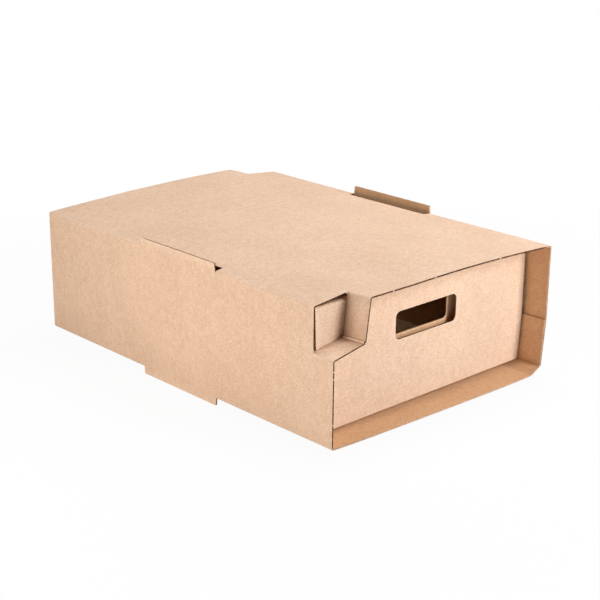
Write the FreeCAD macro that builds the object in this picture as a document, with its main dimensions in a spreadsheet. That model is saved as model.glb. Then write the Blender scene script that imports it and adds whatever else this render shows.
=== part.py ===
import FreeCAD, Part
import math
import os
import Sketcher

# A cardboard tray in a glued cardboard sleeve.
# X runs across the opening, Y from the front opening to the back one, Z up.
# The origin lies on the ground, under the middle of the sleeve.

# Driving dimensions in mm. Every other size is worked out from these in the sheet.
DRIVING = [
    ("board", 1.5, "thickness of the corrugated board"),
    ("sleeveWidth", 300.0, "outside width of the sleeve"),
    ("sleeveDepth", 434.8, "outside depth of the sleeve, opening to opening"),
    ("sleeveHeight", 129.0, "height of the sleeve's walls"),
    ("foldRadius", 2.2, "outside radius of the sleeve's folds"),
    ("crownRise", 5.6, "rise of the top panel in the middle"),
    ("bottomSag", 1.8, "bow of the bottom panel below its own chord"),
    ("creaseInset", 19.0, "from the right side to the crease of the bottom bevel"),
    ("creaseDrop", 4.3, "fall of that crease below the left bottom fold"),
    ("flapLean", 4.2, "how far the right wall's foot leans in"),
    ("flapFootRise", 2.7, "height of the right wall's foot"),
    ("flapHeight", 51.8, "height of the glue flap's upper edge"),
    ("glueLine", 0.2, "how deep the glued flap is bedded on the wall"),
    ("recess", 27.2, "from an opening to the slit behind the corner lock"),
    ("lockWidth", 44.9, "width of the corner lock on the top panel"),
    ("lockInner", 41.4, "from the side to the lock's inner fold"),
    ("lockTaper", 3.9, "how much narrower the lock is at its slit"),
    ("lockHeight", 43.8, "from the wall's top down to the lock's floor"),
    ("lockTilt", 7.1, "rise of the lock's floor towards its inner fold"),
    ("tabLength", 113.7, "length of a locating tab at its root"),
    ("tabTaper", 1.2, "taper at each end of a tab"),
    ("tabHeight", 8.6, "height of an upper tab"),
    ("footHeight", 7.4, "height of a lower tab"),
    ("endGap", 0.25, "play between a lock and the tray's end"),
    ("leftPlay", 0.3, "play between the tray and the left wall"),
    ("rightPlay", 3.2, "play between the tray and the right wall"),
    ("footPlay", 0.8, "play between the tray's foot and the glue flap"),
    ("restPlay", 0.25, "play under the tray"),
    ("topPlay", 0.6, "play above the tray's side walls"),
    ("trayFold", 3.0, "outside radius of the tray's folds"),
    ("endDepth", 9.0, "from the outer end panel's face to the inner panel's face"),
    ("holeWidth", 85.0, "width of a hand hole"),
    ("holeHeight", 27.8, "height of a hand hole"),
    ("holeCorner", 5.5, "corner radius of a hand hole"),
    ("holeRise", 68.7, "from the tray's underside to a hand hole"),
    ("flapReach", 62.0, "length of a corner flap inside an end wall"),
    ("flapTrim", 6.0, "how much lower a corner flap is than the hollow"),
    ("cutPlay", 0.4, "play at a cut edge beside another panel"),
    ("overrun", 12.0, "how far a cutting shape runs past the board"),
]

# Places worked out from the driving dimensions.
DERIVED = [
    ("halfWidth", "sleeveWidth / 2"),
    ("halfDepth", "sleeveDepth / 2"),
    ("bottomZ", "footHeight"),
    ("topZ", "bottomZ + sleeveHeight"),
    ("middleZ", "bottomZ + sleeveHeight / 2"),
    ("crownRadius", "(halfWidth ^ 2 + crownRise ^ 2) / (2 * crownRise)"),
    ("creaseX", "halfWidth - creaseInset"),
    ("creaseZ", "bottomZ - creaseDrop"),
    ("bottomChord", "sqrt((halfWidth + creaseX) ^ 2 + creaseDrop ^ 2)"),
    ("bottomRadius", "(bottomChord ^ 2 / 4 + bottomSag ^ 2) / (2 * bottomSag)"),
    ("wallFootX", "halfWidth - flapLean"),
    ("wallFootZ", "bottomZ + flapFootRise"),
    ("flapTopZ", "bottomZ + flapHeight"),
    ("flapTopX", "halfWidth - board"),
    ("flapFootX", "wallFootX - board"),
    ("flapOuterTopX", "flapTopX + glueLine"),
    ("flapOuterFootX", "flapFootX + glueLine"),
    ("flapInnerTopX", "flapTopX - board"),
    ("flapInnerFootX", "flapFootX - board"),
    ("lockFloorZ", "topZ - lockHeight"),
    ("lockFloorUnderZ", "lockFloorZ - board"),
    ("lockFoldZ", "lockFloorZ + lockTilt"),
    ("lockFoldUnderZ", "lockFoldZ - board"),
    ("lockFoldX", "lockInner - halfWidth"),
    ("lockFoldBackX", "lockFoldX - lockTaper"),
    ("lockTopX", "lockWidth - halfWidth"),
    ("lockTopBackX", "lockTopX - lockTaper"),
    ("lockFoldInX", "lockFoldX + board"),
    ("lockFoldInBackX", "lockFoldBackX + board"),
    ("lockTopInX", "lockTopX + board"),
    ("lockTopInBackX", "lockTopBackX + board"),
    ("lockTopZ", "topZ + crownRise - crownRadius + sqrt(crownRadius ^ 2 - lockTopX ^ 2)"),
    ("lockTopBackZ", "topZ + crownRise - crownRadius + sqrt(crownRadius ^ 2 - lockTopBackX ^ 2)"),
    ("clearX", "halfWidth + overrun"),
    ("clearZ", "topZ + crownRise + overrun"),
    ("slitY", "halfDepth - recess"),
    ("tabHalf", "tabLength / 2"),
    ("tabTipHalf", "tabHalf - tabTaper"),
    ("tabRootZ", "topZ - foldRadius - board"),
    ("tabTipZ", "topZ + tabHeight"),
    ("footRootZ", "bottomZ + foldRadius + board"),
    ("rightFootRootZ", "wallFootZ + foldRadius + board"),
    ("wallInX", "halfWidth - board"),
    ("upperSlotX", "wallInX - tabHeight"),
    ("lowerSlotX", "wallInX - footHeight"),
    ("rightFootX", "wallFootX - board"),
    ("trayEndY", "slitY - endGap"),
    ("trayInnerY", "trayEndY - board"),
    ("traySideY", "trayInnerY - cutPlay"),
    ("troughLength", "2 * traySideY"),
    ("trayLeftX", "halfWidth - board - leftPlay"),
    ("trayRightX", "halfWidth - board - rightPlay"),
    ("trayFootX", "flapInnerFootX - footPlay"),
    ("trayBaseZ", "bottomZ + board + restPlay"),
    ("trayKneeZ", "flapTopZ"),
    ("trayTopZ", "topZ - board - topPlay"),
    ("trayFloorZ", "trayBaseZ + board"),
    ("trayInnerFold", "trayFold - board"),
    ("endBackY", "trayEndY - endDepth - board"),
    ("endHollowY", "trayEndY - endDepth"),
    ("endFoldY", "trayEndY - trayFold"),
    ("endBackFoldY", "endBackY + trayFold"),
    ("endFlangeY", "endFoldY - board"),
    ("endHeelZ", "trayBaseZ + trayFold"),
    ("endShoulderZ", "trayTopZ - trayFold"),
    ("endRoofZ", "trayTopZ - board"),
    ("heelLeftX", "trayLeftX - trayFold"),
    ("heelRightX", "trayFootX - trayFold"),
    ("heelLength", "heelLeftX + heelRightX"),
    ("endLength", "trayLeftX + trayRightX"),
    ("innerLeftX", "trayLeftX - board - cutPlay"),
    ("innerRightX", "trayFootX - board - cutPlay"),
    ("innerLength", "innerLeftX + innerRightX"),
    ("flapLowZ", "trayFloorZ + flapTrim"),
    ("flapHighZ", "endRoofZ - flapTrim"),
    ("flapLeftX", "trayLeftX - board / 2"),
    ("flapLeftEndX", "trayLeftX - flapReach"),
    ("flapRightX", "trayRightX - board / 2"),
    ("flapRightFootX", "trayFootX - board / 2"),
    ("flapRightEndX", "trayRightX - flapReach"),
    ("holeMiddleX", "(trayRightX - trayLeftX) / 2"),
    ("holeLeftX", "holeMiddleX - holeWidth / 2"),
    ("holeRightX", "holeMiddleX + holeWidth / 2"),
    ("holeLowZ", "trayBaseZ + holeRise"),
    ("holeHighZ", "holeLowZ + holeHeight"),
]

doc = FreeCAD.newDocument("TrayBox")
sheet = doc.addObject("Spreadsheet::Sheet", "Sizes")
for row, (alias, size, note) in enumerate(DRIVING, start=1):
    sheet.set(f"A{row}", alias)
    sheet.set(f"B{row}", str(size))
    sheet.set(f"C{row}", note)
    sheet.setAlias(f"B{row}", alias)
for row, (alias, formula) in enumerate(DERIVED, start=len(DRIVING) + 1):
    sheet.set(f"A{row}", alias)
    sheet.set(f"B{row}", "=" + formula)
    sheet.setAlias(f"B{row}", alias)
doc.recompute()


# Reading the sheet: a name, or a name with a minus sign before it.

def number(name):
    if name.startswith("-"):
        return -float(sheet.get(name[1:]))
    return float(sheet.get(name))


def bound(name):
    if name.startswith("-"):
        return "-Sizes." + name[1:]
    return "Sizes." + name


# Sketches whose corners and radii are bound to the sheet.

def new_sketch(body, name, role, offset=None):
    """A sketch on one of the body's own planes, moved along that plane's normal."""
    sketch = body.newObject("Sketcher::SketchObject", name)
    plane = next(part for part in body.Origin.OriginFeatures if part.Role == role)
    sketch.AttachmentSupport = (plane, [""])
    sketch.MapMode = "FlatFace"
    if offset:
        sketch.setExpression("AttachmentOffset.Base.z", bound(offset))
    return sketch


def bind(sketch, kind, first, second, name):
    """A distance or radius that follows the sheet."""
    constraint = Sketcher.Constraint(kind, *first, *second, number(name))
    index = sketch.addConstraint(constraint)
    sketch.setExpression(f"Constraints[{index}]", bound(name))


def pin_corner(sketch, side, end, corner):
    """Holds one end of a side at a corner named by its two places."""
    for kind, axis, name in (("DistanceX", -2, corner[0]), ("DistanceY", -1, corner[1])):
        if name == "zero":
            sketch.addConstraint(Sketcher.Constraint("PointOnObject", side, end, axis))
        else:
            bind(sketch, kind, (-1, 1), (side, end), name)


def angle_from(centre, point):
    return math.atan2(point.y - centre.y, point.x - centre.x)


def arc_between(start, end, radius):
    """The shorter arc from start to end, bulging to the left of that way."""
    along = end - start
    across = FreeCAD.Vector(-along.y, along.x, 0).normalize()
    sagitta = math.sqrt(max(radius ** 2 - along.Length ** 2 / 4, 0))
    centre = (start + end) / 2 - across * sagitta
    circle = Part.Circle(centre, FreeCAD.Vector(0, 0, 1), radius)
    return Part.ArcOfCircle(circle, angle_from(centre, end), angle_from(centre, start))


def add_loop(sketch, corners, outward=None, inward=None):
    """A closed loop, clockwise. Bowed sides have their radius under their first corner's place:
    outward ones bulge to the left of the way round, and inward ones to the right."""
    outward = outward or {}
    inward = inward or {}
    points = []
    for corner in corners:
        across, up = (0.0 if name == "zero" else number(name) for name in corner)
        points.append(FreeCAD.Vector(across, up, 0))
    sides = []
    for place, start in enumerate(points):
        end = points[(place + 1) % len(points)]
        if place in outward:
            side = sketch.addGeometry(arc_between(start, end, number(outward[place])))
            sides.append((side, 2, 1))
        elif place in inward:
            side = sketch.addGeometry(arc_between(end, start, number(inward[place])))
            sides.append((side, 1, 2))
        else:
            side = sketch.addGeometry(Part.LineSegment(start, end))
            sides.append((side, 1, 2))
    radii = {**outward, **inward}
    for place, (side, first, last) in enumerate(sides):
        following, begin, finish = sides[(place + 1) % len(sides)]
        sketch.addConstraint(Sketcher.Constraint("Coincident", side, last, following, begin))
        pin_corner(sketch, side, first, corners[place])
        if place in radii:
            bind(sketch, "Radius", (side,), (), radii[place])


def add_rounded_rectangle(sketch, left, right, low, high, radius):
    """Four sides on named places, joined by quarter arcs of one named radius."""
    x0, x1, y0, y1, r = (number(name) for name in (left, right, low, high, radius))
    vector = FreeCAD.Vector
    lines = [
        (vector(x0 + r, y0, 0), vector(x1 - r, y0, 0), "Horizontal", "DistanceY", low),
        (vector(x1, y0 + r, 0), vector(x1, y1 - r, 0), "Vertical", "DistanceX", right),
        (vector(x1 - r, y1, 0), vector(x0 + r, y1, 0), "Horizontal", "DistanceY", high),
        (vector(x0, y1 - r, 0), vector(x0, y0 + r, 0), "Vertical", "DistanceX", left),
    ]
    centres = [
        vector(x1 - r, y0 + r, 0),
        vector(x1 - r, y1 - r, 0),
        vector(x0 + r, y1 - r, 0),
        vector(x0 + r, y0 + r, 0),
    ]
    sides = []
    for start, end, direction, kind, name in lines:
        side = sketch.addGeometry(Part.LineSegment(start, end))
        sketch.addConstraint(Sketcher.Constraint(direction, side))
        bind(sketch, kind, (-1, 1), (side, 1), name)
        sides.append(side)
    for place, centre in enumerate(centres):
        begin = (place - 1) * math.pi / 2
        circle = Part.Circle(centre, vector(0, 0, 1), r)
        arc = sketch.addGeometry(Part.ArcOfCircle(circle, begin, begin + math.pi / 2))
        following = sides[(place + 1) % len(sides)]
        sketch.addConstraint(Sketcher.Constraint("Tangent", sides[place], 2, arc, 1))
        sketch.addConstraint(Sketcher.Constraint("Tangent", arc, 2, following, 1))
        bind(sketch, "Radius", (arc,), (), radius)


# Features bound to the sheet.

def add_extrusion(body, kind, name, sketch, length, both=False, reverse=False):
    """A pad or pocket of a named length, on one side of its sketch or halved about it."""
    feature = body.newObject("PartDesign::" + kind, name)
    feature.Profile = sketch
    feature.setExpression("Length", bound(length))
    if both:
        feature.SideType = "Symmetric"
    feature.Reversed = reverse
    return feature


def add_cut_through(body, name, sketch, both=False, reverse=False):
    """A pocket through everything on one side of its sketch, or on both."""
    before = body.Shape.Volume
    feature = body.newObject("PartDesign::Pocket", name)
    feature.Profile = sketch
    feature.Type = "ThroughAll"
    if both:
        feature.SideType = "Symmetric"
    feature.Reversed = reverse
    doc.recompute()
    if feature.Shape.Volume >= before:
        raise RuntimeError(name + " cut nothing")
    return feature


def add_loft(body, kind, name, first, second):
    """A straight-sided loft between two sketches."""
    feature = body.newObject("PartDesign::" + kind, name)
    feature.Profile = first
    feature.Sections = [second]
    feature.Ruled = True
    return feature


def origin_feature(body, role):
    return next(part for part in body.Origin.OriginFeatures if part.Role == role)


def turn_half(body, name, features):
    """Repeats features half a turn about the upright axis."""
    pattern = body.newObject("PartDesign::PolarPattern", name)
    pattern.Originals = features
    pattern.Axis = (origin_feature(body, "Z_Axis"), [""])
    pattern.Angle = 360
    pattern.Occurrences = 2
    body.Tip = pattern
    doc.recompute()


def mirror_ends(body, name, features):
    """Repeats features at the other end of the box."""
    mirrored = body.newObject("PartDesign::Mirrored", name)
    mirrored.Originals = features
    mirrored.MirrorPlane = (origin_feature(body, "XZ_Plane"), [""])
    body.Tip = mirrored
    doc.recompute()


def long_edges(shape, corners):
    """Names of the straight edges along Y that pass through the given section corners."""
    names = []
    for place, edge in enumerate(shape.Edges, start=1):
        box = edge.BoundBox
        if box.XLength > 1e-3 or box.ZLength > 1e-3:
            continue
        for across, up in corners:
            if math.hypot(box.Center.x - number(across), box.Center.z - number(up)) < 1e-3:
                names.append(f"Edge{place}")
    return names


def end_faces(shape):
    """Names of the flat faces that close a section at its two ends."""
    names = []
    for place, face in enumerate(shape.Faces, start=1):
        if face.BoundBox.YLength < 1e-3:
            names.append(f"Face{place}")
    return names


def add_folds(body, name, base, corners, radius):
    """Rounds the long edges at the named corners."""
    fillet = body.newObject("PartDesign::Fillet", name)
    fillet.Base = (base, long_edges(base.Shape, corners))
    fillet.setExpression("Radius", bound(radius))
    doc.recompute()
    return fillet


def add_board(body, name, base, faces):
    """Leaves one thickness of board inside the outline, open at the given faces."""
    shell = body.newObject("PartDesign::Thickness", name)
    shell.Base = (base, faces)
    shell.Join = "Intersection"
    shell.Reversed = True
    shell.setExpression("Value", bound("board"))
    doc.recompute()
    return shell


# The sleeve: a glued tube with a crowned top, a sagging bottom and a bevelled edge.

def make_sleeve():
    body = doc.addObject("PartDesign::Body", "SleeveBody")
    body.Label = "sleeve"
    make_tube(body)
    make_glue_flap(body)
    make_corner_locks(body)
    make_upper_tabs(body)
    make_feet(body)
    return body


def make_tube(body):
    outline = new_sketch(body, "TubeOutline", "XZ_Plane")
    left_foot = ("-halfWidth", "bottomZ")
    left_top = ("-halfWidth", "topZ")
    right_top = ("halfWidth", "topZ")
    crease = ("creaseX", "creaseZ")
    wall_foot = ("wallFootX", "wallFootZ")
    knee = ("halfWidth", "flapTopZ")
    corners = [left_foot, left_top, right_top, knee, wall_foot, crease]
    add_loop(outline, corners, outward={1: "crownRadius", 5: "bottomRadius"})
    block = add_extrusion(body, "Pad", "TubeBlock", outline, "sleeveDepth", both=True)
    doc.recompute()
    folds = [left_foot, left_top, right_top, crease, wall_foot]
    rounded = add_folds(body, "TubeFolds", block, folds, "foldRadius")
    add_board(body, "TubeBoard", rounded, end_faces(rounded.Shape))


def make_glue_flap(body):
    """The sheet's last panel, folded up and glued inside the right wall."""
    outline = new_sketch(body, "GlueFlapOutline", "XZ_Plane")
    corners = [
        ("flapOuterFootX", "wallFootZ"),
        ("flapOuterTopX", "flapTopZ"),
        ("flapInnerTopX", "flapTopZ"),
        ("flapInnerFootX", "wallFootZ"),
    ]
    add_loop(outline, corners)
    add_extrusion(body, "Pad", "GlueFlap", outline, "sleeveDepth", both=True)


def make_corner_locks(body):
    """Each lock is a corner pushed inwards in front of a slit, which leaves a stepped recess."""
    clearings = []
    steps = []
    for depth, back in (("halfDepth", ""), ("slitY", "Back")):
        fold_x = "lockFold" + back + "X"
        top_x = "lockTop" + back + "X"
        top_z = "lockTop" + back + "Z"
        clearing = new_sketch(body, "LockClearing" + back, "XZ_Plane", depth)
        corners = [
            ("-clearX", "lockFloorZ"),
            ("-halfWidth", "lockFloorZ"),
            (fold_x, "lockFoldZ"),
            (top_x, top_z),
            (top_x, "clearZ"),
            ("-clearX", "clearZ"),
        ]
        add_loop(clearing, corners)
        clearings.append(clearing)
        step = new_sketch(body, "LockStep" + back, "XZ_Plane", depth)
        corners = [
            ("-halfWidth", "lockFloorZ"),
            (fold_x, "lockFoldZ"),
            (top_x, top_z),
            ("lockTopIn" + back + "X", top_z),
            ("lockFoldIn" + back + "X", "lockFoldUnderZ"),
            ("-halfWidth", "lockFloorUnderZ"),
        ]
        add_loop(step, corners)
        steps.append(step)
    clearing = add_loft(body, "SubtractiveLoft", "LockRecess", *clearings)
    step = add_loft(body, "AdditiveLoft", "LockPanels", *steps)
    doc.recompute()
    turn_half(body, "LockPair", [clearing, step])


def make_tab(body, name, inner_side, root, tip):
    """A tapered upright tab, one board thick, standing in the plane of a wall."""
    outline = new_sketch(body, name + "Outline", "YZ_Plane", inner_side)
    corners = [
        ("-tabHalf", root),
        ("-tabTipHalf", tip),
        ("tabTipHalf", tip),
        ("tabHalf", root),
    ]
    add_loop(outline, corners)
    return add_extrusion(body, "Pad", name, outline, "board")


def make_slot(body, name, edge, upwards):
    """The gap that a tab leaves in the panel that it was cut from."""
    outline = new_sketch(body, name + "Outline", "XY_Plane", "middleZ")
    corners = [
        ("-wallInX", "-tabHalf"),
        ("-wallInX", "tabHalf"),
        ("-" + edge, "tabTipHalf"),
        ("-" + edge, "-tabTipHalf"),
    ]
    add_loop(outline, corners)
    return add_cut_through(body, name, outline, reverse=upwards)


def make_upper_tabs(body):
    slot = make_slot(body, "UpperSlot", "upperSlotX", upwards=True)
    tab = make_tab(body, "UpperTab", "-halfWidth", "tabRootZ", "tabTipZ")
    doc.recompute()
    turn_half(body, "UpperTabPair", [slot, tab])


def make_feet(body):
    make_slot(body, "LowerSlot", "lowerSlotX", upwards=False)
    make_tab(body, "LeftFoot", "-halfWidth", "footRootZ", "zero")
    make_tab(body, "RightFoot", "rightFootX", "rightFootRootZ", "zero")


# The tray: base, side walls, hollow end walls with hand holes, and corner flaps.

def make_tray():
    body = doc.addObject("PartDesign::Body", "TrayBody")
    body.Label = "tray"
    make_trough(body)
    make_end_walls(body)
    make_corner_flaps(body)
    trim_ends(body)
    make_hand_holes(body)
    return body


def make_trough(body):
    """The base and the two side walls, the right one leaning in beside the glue flap."""
    outline = new_sketch(body, "TroughOutline", "XZ_Plane")
    left_foot = ("-trayLeftX", "trayBaseZ")
    right_foot = ("trayFootX", "trayBaseZ")
    corners = [
        left_foot,
        ("-trayLeftX", "trayTopZ"),
        ("trayRightX", "trayTopZ"),
        ("trayRightX", "trayKneeZ"),
        right_foot,
    ]
    add_loop(outline, corners)
    block = add_extrusion(body, "Pad", "TroughBlock", outline, "troughLength", both=True)
    doc.recompute()
    rounded = add_folds(body, "TroughFolds", block, [left_foot, right_foot], "trayFold")
    opened = end_faces(rounded.Shape)
    for place, face in enumerate(rounded.Shape.Faces, start=1):
        box = face.BoundBox
        if box.ZLength < 1e-3 and abs(box.ZMax - number("trayTopZ")) < 1e-3:
            opened.append(f"Face{place}")
    add_board(body, "TroughBoard", rounded, opened)


def make_end_walls(body):
    """An outer panel, rolled over at the top and down again inside."""
    heel = new_sketch(body, "HeelOutline", "YZ_Plane", "-heelLeftX")
    corners = [
        ("-endFlangeY", "trayBaseZ"),
        ("-endFoldY", "trayBaseZ"),
        ("-trayEndY", "endHeelZ"),
        ("-trayInnerY", "endHeelZ"),
        ("-endFoldY", "trayFloorZ"),
        ("-endFlangeY", "trayFloorZ"),
    ]
    add_loop(heel, corners, outward={1: "trayFold"}, inward={3: "trayInnerFold"})
    fold = add_extrusion(body, "Pad", "HeelFold", heel, "heelLength")
    face = new_sketch(body, "EndPanelOutline", "YZ_Plane", "-trayLeftX")
    corners = [
        ("-trayEndY", "endHeelZ"),
        ("-trayEndY", "endShoulderZ"),
        ("-trayInnerY", "endShoulderZ"),
        ("-trayInnerY", "endHeelZ"),
    ]
    add_loop(face, corners)
    panel = add_extrusion(body, "Pad", "EndPanel", face, "endLength")
    roll = new_sketch(body, "RollOutline", "YZ_Plane", "-innerLeftX")
    corners = [
        ("-trayEndY", "endShoulderZ"),
        ("-endFoldY", "trayTopZ"),
        ("-endBackFoldY", "trayTopZ"),
        ("-endBackY", "endShoulderZ"),
        ("-endBackY", "trayFloorZ"),
        ("-endHollowY", "trayFloorZ"),
        ("-endHollowY", "endShoulderZ"),
        ("-endBackFoldY", "endRoofZ"),
        ("-endFoldY", "endRoofZ"),
        ("-trayInnerY", "endShoulderZ"),
    ]
    over = {0: "trayFold", 2: "trayFold"}
    under = {6: "trayInnerFold", 8: "trayInnerFold"}
    add_loop(roll, corners, outward=over, inward=under)
    rolled = add_extrusion(body, "Pad", "RolledPanel", roll, "innerLength")
    doc.recompute()
    mirror_ends(body, "EndWallPair", [fold, panel, rolled])


def make_corner_flaps(body):
    """Flaps of the side walls, folded in behind the outer end panel."""
    outline = new_sketch(body, "CornerFlapOutline", "XZ_Plane", "traySideY")
    left = [
        ("-flapLeftX", "flapLowZ"),
        ("-flapLeftX", "flapHighZ"),
        ("-flapLeftEndX", "flapHighZ"),
        ("-flapLeftEndX", "flapLowZ"),
    ]
    right = [
        ("flapRightEndX", "flapLowZ"),
        ("flapRightEndX", "flapHighZ"),
        ("flapRightX", "flapHighZ"),
        ("flapRightX", "trayKneeZ"),
        ("flapRightFootX", "flapLowZ"),
    ]
    add_loop(outline, left)
    add_loop(outline, right)
    flaps = add_extrusion(body, "Pad", "CornerFlaps", outline, "board", reverse=True)
    doc.recompute()
    mirror_ends(body, "CornerFlapPair", [flaps])


def trim_ends(body):
    """The lower right corner of each end follows the leaning side wall."""
    outline = new_sketch(body, "EndTrimOutline", "XZ_Plane")
    corners = [
        ("trayFootX", "trayBaseZ"),
        ("trayRightX", "trayKneeZ"),
        ("clearX", "trayKneeZ"),
        ("clearX", "trayBaseZ"),
    ]
    add_loop(outline, corners)
    add_cut_through(body, "EndTrim", outline, both=True)


def make_hand_holes(body):
    outline = new_sketch(body, "HandHoleOutline", "XZ_Plane")
    add_rounded_rectangle(
        outline, "holeLeftX", "holeRightX", "holeLowZ", "holeHighZ", "holeCorner"
    )
    add_cut_through(body, "HandHoles", outline, both=True)


pieces = [make_sleeve(), make_tray()]
doc.recompute()
for item in doc.Objects:
    if "Invalid" in item.State or "Error" in item.State:
        raise RuntimeError(item.Name + " failed: " + ", ".join(item.State))
for piece in pieces:
    piece.Placement = FreeCAD.Placement()
    if piece.Shape.isNull() or not piece.Shape.isValid():
        raise RuntimeError(piece.Label + " is not a sound shape")
    if len(piece.Shape.Solids) != 1:
        raise RuntimeError(piece.Label + " is not one solid")

os.makedirs("parts", exist_ok=True)
for piece in pieces:
    piece.Shape.exportStep(os.path.join("parts", piece.Label + ".step"))
    box = piece.Shape.BoundBox
    print(piece.Label, [round(size, 1) for size in (box.XLength, box.YLength, box.ZLength)])
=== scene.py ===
import math

import bmesh
import bpy
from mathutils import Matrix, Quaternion, Vector


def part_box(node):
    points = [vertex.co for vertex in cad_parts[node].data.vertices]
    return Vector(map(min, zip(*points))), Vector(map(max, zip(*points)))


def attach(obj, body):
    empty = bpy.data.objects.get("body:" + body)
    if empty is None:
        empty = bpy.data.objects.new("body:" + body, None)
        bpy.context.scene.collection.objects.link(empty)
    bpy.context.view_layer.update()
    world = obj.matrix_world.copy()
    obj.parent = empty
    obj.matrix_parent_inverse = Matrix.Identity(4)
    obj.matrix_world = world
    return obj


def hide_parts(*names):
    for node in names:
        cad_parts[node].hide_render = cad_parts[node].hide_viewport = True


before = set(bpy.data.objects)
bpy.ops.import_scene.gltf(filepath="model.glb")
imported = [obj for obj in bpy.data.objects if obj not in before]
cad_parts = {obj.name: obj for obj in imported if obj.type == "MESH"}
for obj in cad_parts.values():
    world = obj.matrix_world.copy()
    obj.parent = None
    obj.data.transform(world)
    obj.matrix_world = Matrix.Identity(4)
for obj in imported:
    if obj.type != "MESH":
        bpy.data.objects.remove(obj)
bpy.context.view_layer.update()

mm = 0.001
tiny = 1e-5
sleeveLow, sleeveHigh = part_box("sleeve")
trayLow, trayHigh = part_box("tray")


# Mesh helpers

def isVert(item):
    return isinstance(item, bmesh.types.BMVert)


def isEdge(item):
    return isinstance(item, bmesh.types.BMEdge)


def clamp(value, low=0.0, high=1.0):
    return max(low, min(high, value))


def withHolds(corners, folds, gap):
    # a point on each side of a fold keeps the panels beside it flat
    chain = []
    for place, corner in enumerate(corners):
        here = Vector(corner)
        if place not in folds:
            chain.append(here)
            continue
        before = Vector(corners[place - 1]) - here
        after = Vector(corners[place + 1]) - here
        chain.append(here + before.normalized() * gap)
        chain.append(here)
        chain.append(here + after.normalized() * gap)
    return chain


def stripFromChain(chain, start, end, axis):
    # a chain of corners in the section plane, drawn out along X or Y
    bm = bmesh.new()
    line = []
    for across, up in chain:
        spot = (across, start, up) if axis == "Y" else (start, across, up)
        line.append(bm.verts.new(spot))
    edges = [bm.edges.new(pair) for pair in zip(line, line[1:])]
    grown = bmesh.ops.extrude_edge_only(bm, edges=edges)["geom"]
    step = (0, end - start, 0) if axis == "Y" else (end - start, 0, 0)
    bmesh.ops.translate(bm, verts=[item for item in grown if isVert(item)], vec=step)
    return bm


def cutAt(bm, axis, places, keep=None):
    # planes across one axis; keep picks the faces that a plane may cut
    normal = {"X": (1, 0, 0), "Y": (0, 1, 0), "Z": (0, 0, 1)}[axis]
    for place in places:
        faces = [face for face in bm.faces if keep is None or keep(face.calc_center_median())]
        edges = {edge for face in faces for edge in face.edges}
        verts = {vert for face in faces for vert in face.verts}
        bmesh.ops.bisect_plane(
            bm, geom=[*verts, *edges, *faces], dist=1e-6,
            plane_co=[place * part for part in normal], plane_no=normal,
        )


def spread(low, high, cell):
    count = max(1, round((high - low) / cell))
    return [low + (high - low) * step / count for step in range(1, count)]


def spreadAll(stops, cell):
    places = list(stops[1:-1])
    for low, high in zip(stops, stops[1:]):
        places += spread(low, high, cell)
    return places


def roundFold(bm, edges, radius, segments):
    return bmesh.ops.bevel(
        bm, geom=edges, offset=radius, segments=segments, profile=0.5,
        affect="EDGES", material=-1, offset_type="OFFSET",
    )


def foldAt(bm, axis, spots, radius, segments=4):
    # rounds the long edges that pass through the given section corners
    chosen = []
    for edge in bm.edges:
        first, second = (vert.co for vert in edge.verts)
        along = second - first
        main = along.y if axis == "Y" else along.x
        if abs(abs(main) - along.length) > 1e-6:
            continue
        side = first.x if axis == "Y" else first.y
        if any(abs(side - spot[0]) < tiny and abs(first.z - spot[1]) < tiny for spot in spots):
            chosen.append(edge)
    roundFold(bm, chosen, radius, segments)


def dropFaces(bm, test):
    doomed = [face for face in bm.faces if test(face.calc_center_median())]
    bmesh.ops.delete(bm, geom=doomed, context="FACES")


def rimEdges(bm, test):
    return [
        edge for edge in bm.edges
        if edge.is_boundary and all(test(vert.co) for vert in edge.verts)
    ]


def faceOutwards(bm, probe, direction):
    # one direction for the whole sheet, judged at the face nearest to the probe
    bmesh.ops.recalc_face_normals(bm, faces=bm.faces)
    nearest = min(bm.faces, key=lambda face: (face.calc_center_median() - probe).length)
    if nearest.normal.dot(direction) < 0:
        bmesh.ops.reverse_faces(bm, faces=bm.faces)


def objectFrom(bm, name):
    mesh = bpy.data.meshes.new(name)
    bm.to_mesh(mesh)
    bm.free()
    for slot in range(4):
        mesh.materials.append(None)
    piece = bpy.data.objects.new(name, mesh)
    bpy.context.scene.collection.objects.link(piece)
    return piece


def applied(piece):
    graph = bpy.context.evaluated_depsgraph_get()
    finished = bpy.data.meshes.new_from_object(piece.evaluated_get(graph))
    old = piece.data
    piece.modifiers.clear()
    piece.data = finished
    bpy.data.meshes.remove(old)
    return piece


def thicken(bm, name, thickness):
    # gives the sheet its board: slot 0 outside, slot 1 cut edge, slot 2 inside
    piece = objectFrom(bm, name)
    solid = piece.modifiers.new("board", "SOLIDIFY")
    solid.thickness = thickness
    solid.offset = -1
    solid.use_even_offset = True
    solid.use_quality_normals = True
    solid.use_rim = True
    solid.material_offset_rim = 1
    solid.material_offset = 2
    return applied(piece)


board = {
    "thickness": 1.5 * mm,
    "liner": 0.12 * mm,
    "groove": 0.45 * mm,
    "lip": 0.02 * mm,
    "smoothUnder": math.radians(33),
    "fullBend": math.radians(50),
    "acrossFlutes": 0.6,
}


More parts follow.
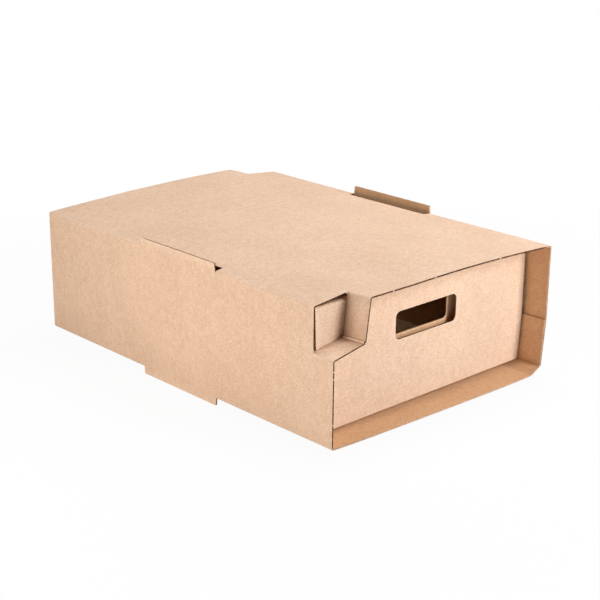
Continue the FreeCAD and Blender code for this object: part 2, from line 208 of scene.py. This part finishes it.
def finishBoard(piece, fluteAxis, low, high):
    # opens the cut edges between their two liners, marks folds, and stays in the piece's box
    bm = bmesh.new()
    bm.from_mesh(piece.data)
    rims = [face for face in bm.faces if face.material_index == 1]
    strips = bmesh.ops.inset_region(
        bm, faces=rims, thickness=board["liner"], depth=0, use_boundary=True,
    )["faces"]
    walls = bmesh.ops.inset_region(
        bm, faces=rims, thickness=board["lip"], depth=-board["groove"], use_boundary=True,
    )["faces"]
    for face in strips:
        face.material_index = 0 if abs(face.normal[fluteAxis]) > board["acrossFlutes"] else 1
    for face in rims:
        face.material_index = 3 if abs(face.normal[fluteAxis]) > board["acrossFlutes"] else 1
    for face in walls:
        face.material_index = 1
    # fold layer: positive on outward folds, which the liner paints paler as wear, negative on inward
    # folds, where it paints shade into the crease
    foldWearAndShade = bm.verts.layers.float.new("fold")
    for vert in bm.verts:
        bend = 0.0
        for edge in vert.link_edges:
            sides = [face.material_index for face in edge.link_faces]
            if edge.is_manifold and sides[0] == sides[1] and sides[0] in (0, 2):
                bend += edge.calc_face_angle_signed(0)
        vert[foldWearAndShade] = clamp(bend / board["fullBend"], -1.0, 1.0)
        vert.co = [clamp(*parts) for parts in zip(vert.co, low, high)]
    for face in bm.faces:
        face.smooth = True
    for edge in bm.edges:
        edge.smooth = edge.is_manifold and edge.calc_face_angle(0) < board["smoothUnder"]
    bm.to_mesh(piece.data)
    bm.free()
    return piece


# The sleeve: one glued tube with two pushed-in corners and upright tabs

sleeve = {
    "halfWidth": sleeveHigh.x,
    "halfDepth": sleeveHigh.y,
    "bottom": 7.4 * mm,
    "top": 136.4 * mm,
    "foldRadius": 2.0 * mm,
    "hold": 3.2 * mm,
    "creaseX": 131.0 * mm,
    "creaseZ": 3.1 * mm,
    "wallFootX": 145.8 * mm,
    "wallFootZ": 10.1 * mm,
    "flapTop": 59.2 * mm,
    "recess": 27.2 * mm,
    "tabHalf": 56.85 * mm,
    "tabTaper": 1.2 * mm,
    "leftTab": 7.5 * mm,
    "rightTab": 8.6 * mm,
    "slotReach": 8.6 * mm,
    "crown": 5.4 * mm,
    "frontLift": 2.0 * mm,
    "rightLift": 1.0 * mm,
    "slitLift": 0.5 * mm,
    "backEase": 0.8 * mm,
    "sag": 1.2 * mm,
    "leftDrop": 0.3 * mm,
    "frontSkew": 2.0 * mm,
    "glueGap": 0.1 * mm,
    "cell": 9.0 * mm,
}

# The pushed-in corner: its places at the opening, and how they change at the slit
lock = {
    "topX": 44.9 * mm,
    "topTaper": 3.9 * mm,
    "foldX": 39.0 * mm,
    "foldTaper": 2.7 * mm,
    "floor": 43.8 * mm,
    "floorRise": 1.4 * mm,
    "foldRise": 7.1 * mm,
    "bead": 1.5 * mm,
    "beadWidth": 1.5 * mm,
}


def crownAt(x, y):
    side = x / sleeve["halfWidth"]
    way = y / sleeve["halfDepth"]
    rise = sleeve["crown"] * (1 - side * side)
    edge = 1 - lock["topX"] / sleeve["halfWidth"]
    rise -= sleeve["backEase"] * clamp((way - 0.55) / 0.4) * clamp(1 - abs(side + 0.55) / 0.5)
    for sign, start in ((-1, 0.35), (1, 0.0)):
        near = clamp((way * sign - 0.55) / 0.4)
        out = clamp((side * sign - start) / (edge - start))
        home = clamp((1 - side * sign) / (1 - edge))
        rise += sleeve["frontLift"] * near * near * out * home
        slit = Vector((side * sign - 0.73, way * sign - 0.875)).length
        rise += sleeve["slitLift"] * clamp(1 - slit / 0.16)
    share = (side + 1) / 2
    return rise + sleeve["rightLift"] * clamp((0.1 - way) / 0.9) * share ** 3


def dropAt(x):
    share = clamp((x + sleeve["halfWidth"]) / (sleeve["creaseX"] + sleeve["halfWidth"]))
    return sleeve["sag"] * (1 - abs(2 * share - 1) ** 4) + sleeve["leftDrop"] * (1 - share)


def makeTube():
    w, top, bottom = sleeve["halfWidth"], sleeve["top"], sleeve["bottom"]
    t, r = board["thickness"], sleeve["foldRadius"]
    crease = (sleeve["creaseX"], sleeve["creaseZ"])
    flapFoot = (sleeve["wallFootX"] - t, sleeve["wallFootZ"])
    corners = [
        (sleeve["wallFootX"], sleeve["wallFootZ"]),
        (w, sleeve["flapTop"]),
        (w, top),
        (-w, top),
        (-w, bottom),
        crease,
        flapFoot,
        (w - t - sleeve["glueGap"], sleeve["flapTop"]),
    ]
    chain = withHolds(corners, range(1, 7), sleeve["hold"])
    bm = stripFromChain(chain, -sleeve["halfDepth"], sleeve["halfDepth"], "Y")
    foldAt(bm, "Y", corners[2:5], r)
    foldAt(bm, "Y", corners[5:7], r, segments=3)
    foldAt(bm, "Y", corners[1:2], r, segments=2)
    return bm


def gridTube(bm):
    w, d, cell, hold = sleeve["halfWidth"], sleeve["halfDepth"], sleeve["cell"], sleeve["hold"]
    slotX = w - board["thickness"] - sleeve["slotReach"]
    lockX = w - lock["topX"] + lock["topTaper"]
    across = spreadAll([hold - w, -slotX, -lockX, lockX, slotX, w - hold], cell)
    cutAt(bm, "X", across, lambda spot: abs(spot.x) < w - sleeve["foldRadius"])
    floor = sleeve["top"] - lock["floor"] + lock["floorRise"]
    stops = [sleeve["bottom"] + hold, sleeve["flapTop"] + hold, floor, sleeve["top"] - hold]
    levels = spreadAll(stops, cell)
    cutAt(bm, "Z", levels, lambda spot: abs(spot.x) > sleeve["wallFootX"] - 2 * board["thickness"])
    slit = d - sleeve["recess"]
    half = sleeve["tabHalf"]
    cutAt(bm, "Y", spreadAll([-d, -slit, -half, half, slit, d], cell))


def growTab(bm, edges, step):
    grown = bmesh.ops.extrude_edge_only(bm, edges=edges)["geom"]
    tips = [item for item in grown if isVert(item)]
    bmesh.ops.translate(bm, verts=tips, vec=step)
    for vert in tips:
        if abs(abs(vert.co.y) - sleeve["tabHalf"]) < tiny:
            vert.co.y -= math.copysign(sleeve["tabTaper"], vert.co.y)


def openSlot(bm, sign, up, height):
    # a tab leaves a slot of its own shape in the panel that it was cut from
    w, r, half = sleeve["halfWidth"], sleeve["foldRadius"], sleeve["tabHalf"]
    level = sleeve["top"] if up else sleeve["bottom"]
    slotX = w - board["thickness"] - (sleeve["slotReach"] if up else height)
    if not up:
        cutAt(bm, "X", [sign * slotX], lambda spot: spot.z < level + 1 * mm)
    dropFaces(bm, lambda spot: (
        abs(spot.z - level) < r and abs(spot.y) < half and spot.x * sign > slotX
    ))
    way = 1 if up else -1
    root = level - way * r
    edges = rimEdges(bm, lambda co: (
        abs(co.x - sign * w) < tiny and abs(co.z - root) < tiny and abs(co.y) < half + tiny
    ))
    growTab(bm, edges, (0, 0, way * (height + r)))
    for vert in bm.verts:
        inner = abs(vert.co.z - level) < 1.5 * mm and abs(vert.co.x - sign * slotX) < tiny
        if inner and abs(abs(vert.co.y) - half) < tiny:
            vert.co.y -= math.copysign(sleeve["tabTaper"], vert.co.y)


def growRightFoot(bm):
    footX, footZ = sleeve["wallFootX"], sleeve["wallFootZ"]
    edges = rimEdges(bm, lambda co: (
        abs(co.x - footX) < tiny and abs(co.z - footZ) < tiny and abs(co.y) < sleeve["tabHalf"] + tiny
    ))
    lean = (sleeve["halfWidth"] - footX) / (sleeve["flapTop"] - footZ)
    growTab(bm, edges, (-lean * footZ, 0, -footZ))


def pushCorner(bm, sign):
    # sign is -1 at the front left corner and 1 at the back right one
    w, top = sleeve["halfWidth"], sleeve["top"]
    slit = sleeve["halfDepth"] - sleeve["recess"]
    topX = w - lock["topX"] + lock["topTaper"]
    floor = top - lock["floor"] + lock["floorRise"]
    foldZ = top - lock["floor"] + lock["foldRise"]

    def share(co):
        return clamp((co.y * sign - slit) / sleeve["recess"])

    def foldX(co):
        return sign * (w - lock["foldX"] + lock["foldTaper"] * (1 - share(co)))

    dropFaces(bm, lambda spot: spot.y * sign > slit and spot.x * sign > topX and spot.z > floor)
    inZone = lambda co: co.y * sign > slit - tiny
    topEdges = rimEdges(bm, lambda co: (
        inZone(co) and abs(co.x * sign - topX) < tiny and co.z > top - 1 * mm
    ))
    wallEdges = rimEdges(bm, lambda co: (
        inZone(co) and abs(co.x * sign - w) < tiny and abs(co.z - floor) < tiny
    ))
    for vert in {vert for edge in topEdges for vert in edge.verts}:
        vert.co.x -= sign * lock["topTaper"] * share(vert.co)
    for vert in {vert for edge in wallEdges for vert in edge.verts}:
        vert.co.z -= lock["floorRise"] * share(vert.co)
    grown = bmesh.ops.extrude_edge_only(bm, edges=topEdges)["geom"]
    for vert in [item for item in grown if isVert(item)]:
        vert.co.x = foldX(vert.co)
        vert.co.z = foldZ
    level = lambda edge: abs(edge.verts[0].co.z - edge.verts[1].co.z) < 1e-6
    foldEdges = [item for item in grown if isEdge(item) and item.is_boundary and level(item)]
    bmesh.ops.bridge_loops(bm, edges=foldEdges + wallEdges)
    roundFold(bm, topEdges + wallEdges, sleeve["foldRadius"], 3)
    raised = roundFold(bm, foldEdges, lock["beadWidth"], 6)["verts"]
    outward = Vector((sign, 0, 1)).normalized()
    for vert in raised:
        away = (vert.co - Vector((foldX(vert.co), vert.co.y, foldZ))).length / lock["beadWidth"]
        vert.co += outward * lock["bead"] * clamp(1 - away * away)


def bendPanels(bm):
    # the top arches, the bottom sags, and the front edge runs back a little at the left
    slit = sleeve["halfDepth"] - sleeve["recess"]
    for vert in bm.verts:
        co = vert.co
        inner = abs(co.x) < sleeve["halfWidth"] - tiny
        if sleeve["top"] - 3 * mm < co.z < sleeve["top"] + tiny:
            co.z += crownAt(co.x, co.y)
        elif co.z < sleeve["bottom"] + sleeve["foldRadius"] + tiny and co.x < sleeve["creaseX"] and (
                inner or co.z > sleeve["bottom"] - tiny):
            co.z -= dropAt(co.x)
        reach = clamp((-co.y - slit) / sleeve["recess"])
        co.y += sleeve["frontSkew"] * reach * clamp(0.5 - co.x / sleeve["halfWidth"] / 2)


def makeSleeve():
    bm = makeTube()
    gridTube(bm)
    openSlot(bm, -1, True, sleeve["leftTab"])
    openSlot(bm, 1, True, sleeve["rightTab"])
    openSlot(bm, -1, False, sleeve["bottom"])
    growRightFoot(bm)
    for sign in (-1, 1):
        pushCorner(bm, sign)
    bendPanels(bm)
    faceOutwards(bm, Vector((0, 0, sleeve["top"] + sleeve["crown"])), Vector((0, 0, 1)))
    piece = finishBoard(thicken(bm, "sleeveBoard", board["thickness"]), 2, sleeveLow, sleeveHigh)
    print("sleeve done", len(piece.data.polygons), "faces")
    return piece


# The tray: a trough with corner flaps, and a hollow rolled wall at each end

tray = {
    "fold": 2.6 * mm,
    "hold": 4.0 * mm,
    "endDepth": 9.0 * mm,
    "rollSlope": 1.2 * mm,
    "heelRise": 2.6 * mm,
    "heelDepth": 5.6 * mm,
    "baseShort": 3.4 * mm,
    "kneeZ": 59.2 * mm,
    "footX": 142.0 * mm,
    "sideGap": 0.4 * mm,
    "panelLeft": 0.3 * mm,
    "panelLeftLow": 2.0 * mm,
    "panelRight": 0.6 * mm,
    "innerInset": 2.2 * mm,
    "flapReach": 62.0 * mm,
    "flapTrim": 6.0 * mm,
    "cell": 12.0 * mm,
    "hole": ((-1.45 * mm, 91.8 * mm), (85.0 * mm, 27.8 * mm)),
    "innerHole": ((-3.2 * mm, 93.0 * mm), (81.0 * mm, 27.2 * mm)),
    "holeCorner": 5.5 * mm,
}


def leanAt(z):
    return clamp((tray["kneeZ"] - z) / (tray["kneeZ"] - trayLow.z)) * (trayHigh.x - tray["footX"])


def makeTrough():
    low, high = trayLow, trayHigh
    side = high.y - board["thickness"] - tray["sideGap"]
    corners = [
        (low.x, high.z), (low.x, low.z), (tray["footX"], low.z),
        (high.x, tray["kneeZ"]), (high.x, high.z),
    ]
    chain = withHolds(corners, (1, 2, 3), tray["hold"])
    bm = stripFromChain(chain, -side, side, "Y")
    foldAt(bm, "Y", corners[1:3], tray["fold"])
    foldAt(bm, "Y", corners[3:4], tray["fold"], segments=2)
    cutAt(bm, "Y", spreadAll([-side, tray["hold"] - side, side - tray["hold"], side], 30 * mm))
    cutAt(bm, "Z", spread(low.z + tray["hold"], high.z, tray["cell"]))
    for vert in bm.verts:
        if abs(vert.co.y) > side - tiny and vert.co.z < low.z + tray["fold"] * 0.8:
            vert.co.y -= math.copysign(tray["baseShort"], vert.co.y)
    for sign in (-1, 1):
        for edgeSide in (-1, 1):
            growCornerFlap(bm, sign, edgeSide, side)
    faceOutwards(bm, Vector((0, 0, low.z)), Vector((0, 0, -1)))
    return thicken(bm, "trough", board["thickness"])


def growCornerFlap(bm, sign, edgeSide, side):
    # the end of a side wall turns the corner and lies behind the end panel
    edges = rimEdges(bm, lambda co: (
        abs(co.y - sign * side) < tiny and co.x * edgeSide > tray["footX"] - 4 * mm
        and co.z > trayLow.z + tray["fold"] + 1 * mm
    ))
    for reach in (tray["hold"], tray["flapReach"] - tray["hold"]):
        grown = bmesh.ops.extrude_edge_only(bm, edges=edges)["geom"]
        moved = [item for item in grown if isVert(item)]
        bmesh.ops.translate(bm, verts=moved, vec=(-edgeSide * reach, 0, 0))
        if reach == tray["hold"]:
            corner = edges
        upright = lambda edge: abs(edge.verts[0].co.z - edge.verts[1].co.z) > 1 * mm
        edges = [item for item in grown if isEdge(item) and item.is_boundary and upright(item)]
    lowest = min(vert.co.z for vert in moved)
    height = max(vert.co.z for vert in moved) - lowest
    for vert in moved:
        share = (vert.co.z - lowest) / height
        vert.co.z += tray["flapTrim"] * (1 - 2 * share)
    roundFold(bm, corner, tray["fold"], 4)


def makeEndSheet(sign):
    low, high = trayLow, trayHigh
    front = high.y
    back = front - tray["endDepth"] - board["thickness"]
    corners = [
        (sign * (front - tray["heelDepth"] - 0.3 * mm), low.z),
        (sign * (front - tray["heelDepth"]), low.z),
        (sign * front, low.z + tray["heelRise"]),
        (sign * front, high.z),
        (sign * back, high.z - tray["rollSlope"]),
        (sign * back, low.z + board["thickness"]),
    ]
    chain = withHolds(corners, (3, 4), tray["hold"])
    bm = stripFromChain(chain, low.x, high.x, "X")
    foldAt(bm, "X", corners[3:5], tray["fold"], segments=5)
    foldAt(bm, "X", corners[2:3], 0.5 * mm, segments=2)
    cutAt(bm, "X", spread(low.x, high.x, tray["cell"]))
    cutAt(bm, "Z", spread(low.z + tray["fold"], high.z - tray["hold"], tray["cell"]))
    span = high.x - low.x
    for vert in bm.verts:
        co = vert.co
        share = (co.x - low.x) / span
        inside = clamp((front - abs(co.y)) / tray["endDepth"])
        fall = clamp((high.z - co.z) / (42 * mm))
        left = low.x + tray["panelLeft"] + (tray["panelLeftLow"] - tray["panelLeft"]) * fall
        left += (low.x + tray["innerInset"] - left) * inside
        right = high.x - tray["panelRight"] - leanAt(co.z)
        co.x = left + (right - left) * share
    faceOutwards(bm, Vector((0, sign * front, 60 * mm)), Vector((0, sign, 0)))
    return thicken(bm, "endSheet", board["thickness"])


def punch(piece, hole, low, high):
    # cuts a rounded hole whose walls are cut board
    (x, z), (width, height) = hole
    bm = bmesh.new()
    bmesh.ops.create_cube(bm, size=1.0)
    bmesh.ops.scale(bm, verts=bm.verts, vec=(width, high - low, height))
    bmesh.ops.translate(bm, verts=bm.verts, vec=(x, (low + high) / 2, z))
    along = [edge for edge in bm.edges if abs(edge.verts[0].co.y - edge.verts[1].co.y) > tiny]
    roundFold(bm, along, tray["holeCorner"], 8)
    for face in bm.faces:
        face.material_index = 1
    cutter = objectFrom(bm, "cutter")
    cut = piece.modifiers.new("hole", "BOOLEAN")
    cut.operation = "DIFFERENCE"
    cut.solver = "EXACT"
    cut.object = cutter
    applied(piece)
    bpy.data.objects.remove(cutter)


def makeEndWall(sign):
    piece = makeEndSheet(sign)
    middle = trayHigh.y - tray["endDepth"] / 2
    punch(piece, tray["hole"], *sorted((sign * middle, sign * (middle + 10 * mm))))
    punch(piece, tray["innerHole"], *sorted((sign * (middle - 10 * mm), sign * middle)))
    return piece


def makeTray():
    bm = bmesh.new()
    for part in (makeTrough(), makeEndWall(-1), makeEndWall(1)):
        bm.from_mesh(part.data)
        bpy.data.objects.remove(part)
    piece = finishBoard(objectFrom(bm, "trayBoard"), 0, trayLow, trayHigh)
    print("tray done", len(piece.data.polygons), "faces")
    return piece


# Materials

class Sock:
    # wraps a node socket, so that shader maths reads as maths
    def __init__(self, tree, socket):
        self.tree = tree
        self.socket = socket

    def maths(self, operation, *values):
        return mathsNode(self.tree, operation, self, *values)

    def __add__(self, other):
        return mathsNode(self.tree, "ADD", self, other)

    def __radd__(self, other):
        return mathsNode(self.tree, "ADD", other, self)

    def __sub__(self, other):
        return mathsNode(self.tree, "SUBTRACT", self, other)

    def __rsub__(self, other):
        return mathsNode(self.tree, "SUBTRACT", other, self)

    def __mul__(self, other):
        return mathsNode(self.tree, "MULTIPLY", self, other)

    def __rmul__(self, other):
        return mathsNode(self.tree, "MULTIPLY", other, self)

    def clamp(self, low=0.0, high=1.0):
        return self.maths("MAXIMUM", low).maths("MINIMUM", high)

    def ramp(self, low, high):
        settings = {"interpolation_type": "SMOOTHSTEP"}
        return addNode(self.tree, "ShaderNodeMapRange", settings, {"Value": self, 1: low, 2: high})


def addNode(tree, kind, settings=None, inputs=None, output=0):
    node = tree.nodes.new(kind)
    for name, value in (settings or {}).items():
        setattr(node, name, value)
    for name, value in (inputs or {}).items():
        socket = node.inputs[name]
        if isinstance(value, Sock):
            tree.links.new(value.socket, socket)
        else:
            socket.default_value = value
    return Sock(tree, node.outputs[output]) if node.outputs else None


def mathsNode(tree, operation, *values):
    return addNode(tree, "ShaderNodeMath", {"operation": operation}, dict(enumerate(values)))


def mixColour(tree, factor, first, second, blend="MIX"):
    settings = {"data_type": "RGBA", "blend_type": blend}
    return addNode(tree, "ShaderNodeMix", settings, {0: factor, 6: first, 7: second}, output=2)


def noiseAt(tree, coords, scale, stretch=(1, 1, 1), detail=2.0, rough=0.5, shift=(0, 0, 0)):
    place = {"Vector": coords, "Scale": stretch, "Location": shift}
    placed = addNode(tree, "ShaderNodeMapping", {}, place)
    inputs = {"Vector": placed, "Scale": scale, "Detail": detail, "Roughness": rough}
    return addNode(tree, "ShaderNodeTexNoise", {}, inputs)


kraft = {
    "deep": (0.605, 0.411, 0.290, 1),
    "mid": (0.683, 0.482, 0.349, 1),
    "light": (0.752, 0.547, 0.407, 1),
    # fleck also serves as the painted shade in inward folds
    "fleck": (0.420, 0.250, 0.150, 1),
    "pale": (0.880, 0.700, 0.560, 1),
    "outside": (1, 1, 1, 1),
    # inside: a brighter, more saturated tint of the liner, painted light on the inner faces
    "inside": (1.15, 1.05, 0.86, 1),
    "specular": 0.22,
    "flutePitch": 3.1 * mm,
}

cutBoard = {
    # core and torn: painted shade of the hollow between the liners, torn the lighter fibres in it
    "coreShade": (0.060, 0.028, 0.014, 1),
    "torn": (0.240, 0.130, 0.075, 1),
    "paper": (0.620, 0.400, 0.260, 1),
    # painted shade in the flute hollows, between the paper crests
    "fluteHollowShade": (0.480, 0.300, 0.200, 1),
    "crest": (0.740, 0.530, 0.390, 1),
    "nicksX": (-76.0 * mm, -20.0 * mm, 72.0 * mm),
    "nicksZ": (75.0 * mm, 81.7 * mm, 31.3 * mm),
    "nickHalf": 0.7 * mm,
}


def newMaterial(name):
    material = bpy.data.materials.new(name)
    material.use_nodes = True
    material.node_tree.nodes.clear()
    return material, material.node_tree


def finishMaterial(tree, inputs):
    shader = addNode(tree, "ShaderNodeBsdfPrincipled", {}, inputs)
    addNode(tree, "ShaderNodeOutputMaterial", {}, {"Surface": shader})


def objectCoords(tree):
    return addNode(tree, "ShaderNodeTexCoord", {}, {}, output=3)


def axisOf(tree, coords, direction):
    settings = {"operation": "DOT_PRODUCT"}
    return addNode(tree, "ShaderNodeVectorMath", settings, {0: coords, 1: direction}, output=1)


def faceMaterial(name, fibreWay, fluteWay, tint):
    material, tree = newMaterial(name)
    coords = objectCoords(tree)
    cloud = noiseAt(tree, coords, 16, detail=2)
    patch = noiseAt(tree, coords, 150, detail=2, rough=0.6, shift=(0.3, 0.1, 0.7))
    fibre = noiseAt(tree, coords, 700, fibreWay, detail=2, rough=0.7)
    grain = noiseAt(tree, coords, 950, detail=2, rough=0.7, shift=(1.3, 0.2, 0.5))
    shade = 0.12 * cloud + 0.18 * patch + 0.34 * fibre + 0.36 * grain
    colour = mixColour(tree, shade.ramp(0.41, 0.51), kraft["deep"], kraft["mid"])
    colour = mixColour(tree, shade.ramp(0.49, 0.59), colour, kraft["light"])
    fleck = noiseAt(tree, coords, 560, fibreWay, detail=0, shift=(2.1, 0.4, 0.9)).ramp(0.72, 0.82)
    colour = mixColour(tree, fleck * 0.20, colour, kraft["fleck"])
    pale = noiseAt(tree, coords, 610, fibreWay, detail=0, shift=(0.9, 3.4, 1.9)).ramp(0.72, 0.82)
    colour = mixColour(tree, pale * 0.30, colour, kraft["pale"])
    # outward folds paler as worn liner; inward folds darkened with the fleck colour as painted shade in
    # the crease
    fold = addNode(tree, "ShaderNodeAttribute", {"attribute_name": "fold"}, {}, output=2)
    colour = mixColour(tree, fold.clamp() * (0.10 + grain * 0.25), colour, kraft["pale"])
    colour = mixColour(tree, (0 - fold).clamp() * 0.45, colour, kraft["fleck"])
    # the tint is plain outside and painted light on the inner faces
    colour = mixColour(tree, 1.0, colour, tint, "MULTIPLY")
    turn = axisOf(tree, coords, fluteWay) * (2 * math.pi / kraft["flutePitch"])
    height = fibre * 0.45 + grain * 0.45 + turn.maths("SINE") * 0.05
    bump = addNode(tree, "ShaderNodeBump", {}, {"Strength": 0.30, "Distance": 0.0002, "Height": height})
    finishMaterial(tree, {
        "Base Color": colour,
        "Roughness": (0.80 + shade * 0.14).clamp(),
        "Specular IOR Level": kraft["specular"],
        "Normal": bump,
    })
    return material


def nickMask(tree, place, spots):
    # small paper bridges that the cutting die leaves across the core
    mask = 0.0
    for spot in spots:
        away = (place - spot).maths("ABSOLUTE")
        mask = mask + (1 - away.ramp(cutBoard["nickHalf"] * 0.6, cutBoard["nickHalf"]))
    return mask


def coreMaterial(name, nicks, pale):
    # a cut along the flutes shows one hollow between the liners; its near-black core and the torn
    # colour are painted shade of that hollow
    material, tree = newMaterial(name)
    coords = objectCoords(tree)
    x, z = axisOf(tree, coords, (1, 0, 0)), axisOf(tree, coords, (0, 0, 1))
    torn = noiseAt(tree, coords, 420, detail=3, rough=0.7).ramp(0.42, 0.72)
    colour = mixColour(tree, torn, cutBoard["coreShade"], cutBoard["torn"])
    if nicks:
        bridges = nickMask(tree, x, cutBoard["nicksX"]) + nickMask(tree, z, cutBoard["nicksZ"])
        colour = mixColour(tree, bridges.clamp() * 0.9, colour, kraft["pale"])
    if pale:
        low = 1 - z.ramp(5 * mm, 14 * mm)
        right = x.ramp(138 * mm, 147 * mm)
        worn = noiseAt(tree, coords, 260, detail=2, shift=(0.4, 0.8, 0.1)).ramp(0.30, 0.60)
        crushed = (low.maths("MAXIMUM", right) * (0.70 + worn * 0.3)).clamp()
        colour = mixColour(tree, crushed, colour, cutBoard["paper"])
    finishMaterial(tree, {"Base Color": colour, "Roughness": 0.92, "Specular IOR Level": 0.12})
    return material


def fluteMaterial(name, way):
    # a cut across the flutes shows their wave; the hollows between the crests are darkened as painted
    # shade
    material, tree = newMaterial(name)
    coords = objectCoords(tree)
    turn = axisOf(tree, coords, way) * (2 * math.pi / kraft["flutePitch"])
    torn = noiseAt(tree, coords, 700, detail=2)
    hollow = (turn.maths("SINE") * 0.5 + torn).ramp(0.55, 1.05)
    colour = mixColour(tree, hollow, cutBoard["crest"], cutBoard["fluteHollowShade"])
    finishMaterial(tree, {"Base Color": colour, "Roughness": 0.92, "Specular IOR Level": 0.12})
    return material


def dress(piece, slotName, fibreWay, fluteWay, waveWay, front):
    face = faceMaterial(slotName + "Liner", fibreWay, fluteWay, kraft["outside"])
    # the inside liner carries the painted light of the inside tint
    inside = faceMaterial(slotName + "Inside", fibreWay, fluteWay, kraft["inside"])
    coreShade = coreMaterial(slotName + "CoreShade", front, front)
    ends = fluteMaterial(slotName + "Flutes", waveWay)
    for place, material in enumerate((face, coreShade, inside, ends)):
        piece.data.materials[place] = material
    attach(piece, "root")
    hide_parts(slotName)


# Light, floor and camera

studio = {
    "aim": (0, 0, 0.07),
    "lamps": (
        ("front", (0.380, -1.040, 0.620), (0.36, 0.50), 8.2, (1, 1, 1)),
        ("low", (0.350, -1.230, 0.206), (0.36, 0.30), 4.9, (1, 1, 1)),
        ("left", (-1.100, 0.040, 0.640), (0.40, 0.40), 5.0, (1, 0.94, 0.87)),
        ("corner", (-0.75, -0.06, 0.10), (0.24, 0.14), 1.9, (1, 0.93, 0.85)),
        ("over", (0.380, 0.060, 1.250), (0.60, 0.60), 13.6, (1, 1, 1)),
    ),
    "worldLight": 0.01,
    "floorSize": 6.0,
    "floorShade": 0.05,
    "floorTone": (0.70, 0.70, 0.70, 1),
    "clearFrom": 0.35,
    "clearTo": 0.75,
}

view = {
    "eye": (-0.96576, -1.03679, 0.54908),
    "azimuth": -43.351,
    "elevation": 19.087,
    "roll": 0.506,
    "focal": 1433.9,
    "frame": 600,
    "sensor": 36.0,
}


def makeStudio():
    aim = Vector(studio["aim"])
    for name, spot, size, power, colour in studio["lamps"]:
        data = bpy.data.lights.new(name, "AREA")
        data.shape = "RECTANGLE"
        data.size, data.size_y = size
        data.energy = power
        data.color = colour
        lamp = bpy.data.objects.new(name, data)
        bpy.context.scene.collection.objects.link(lamp)
        lamp.location = spot
        lamp.rotation_euler = (aim - Vector(spot)).to_track_quat("-Z", "Y").to_euler()
    world = bpy.data.worlds.new("studio")
    bpy.context.scene.world = world
    world.use_nodes = True
    tree = world.node_tree
    tree.nodes.clear()
    seen = Sock(tree, tree.nodes.new("ShaderNodeLightPath").outputs["Is Camera Ray"])
    strength = studio["worldLight"] + seen * (1 - studio["worldLight"])
    sky = addNode(tree, "ShaderNodeBackground", {}, {"Color": (1, 1, 1, 1), "Strength": strength})
    addNode(tree, "ShaderNodeOutputWorld", {}, {"Surface": sky})


def makeFloor():
    bm = bmesh.new()
    bmesh.ops.create_grid(bm, x_segments=1, y_segments=1, size=studio["floorSize"])
    floor = objectFrom(bm, "floor")
    material, tree = newMaterial("floorWhite")
    settings = {"operation": "LENGTH"}
    away = addNode(tree, "ShaderNodeVectorMath", settings, {0: objectCoords(tree)}, output=1)
    clear = away.ramp(studio["clearFrom"], studio["clearTo"])
    plain = addNode(tree, "ShaderNodeBsdfDiffuse", {}, {"Color": studio["floorTone"]})
    glow = addNode(tree, "ShaderNodeEmission", {}, {"Color": (1, 1, 1, 1), "Strength": 1.0})
    seen = Sock(tree, tree.nodes.new("ShaderNodeLightPath").outputs["Is Camera Ray"])
    share = seen * (1 - studio["floorShade"] * (1 - clear))
    mixed = addNode(tree, "ShaderNodeMixShader", {}, {0: share, 1: plain, 2: glow})
    addNode(tree, "ShaderNodeOutputMaterial", {}, {"Surface": mixed})
    floor.data.materials.clear()
    floor.data.materials.append(material)


def makeCamera():
    data = bpy.data.cameras.new("camera")
    camera = bpy.data.objects.new("camera", data)
    bpy.context.scene.collection.objects.link(camera)
    az, el = math.radians(view["azimuth"]), math.radians(view["elevation"])
    back = Vector((math.sin(az) * math.cos(el), -math.cos(az) * math.cos(el), math.sin(el)))
    turn = (-back).to_track_quat("-Z", "Y") @ Quaternion((0, 0, 1), math.radians(view["roll"]))
    camera.location = view["eye"]
    camera.rotation_euler = turn.to_euler()
    data.sensor_width = view["sensor"]
    data.lens = view["focal"] * view["sensor"] / view["frame"]
    data.clip_end = 30
    bpy.context.scene.camera = camera
    bpy.context.scene.view_settings.view_transform = "Standard"


makeCamera()
makeStudio()
makeFloor()
dress(makeSleeve(), "sleeve", (1.0, 0.45, 1.0), (0, 1, 0), (0, 1, 0), True)
dress(makeTray(), "tray", (0.45, 1.0, 1.0), (0, 1, 1), (0, 1, 1), False)
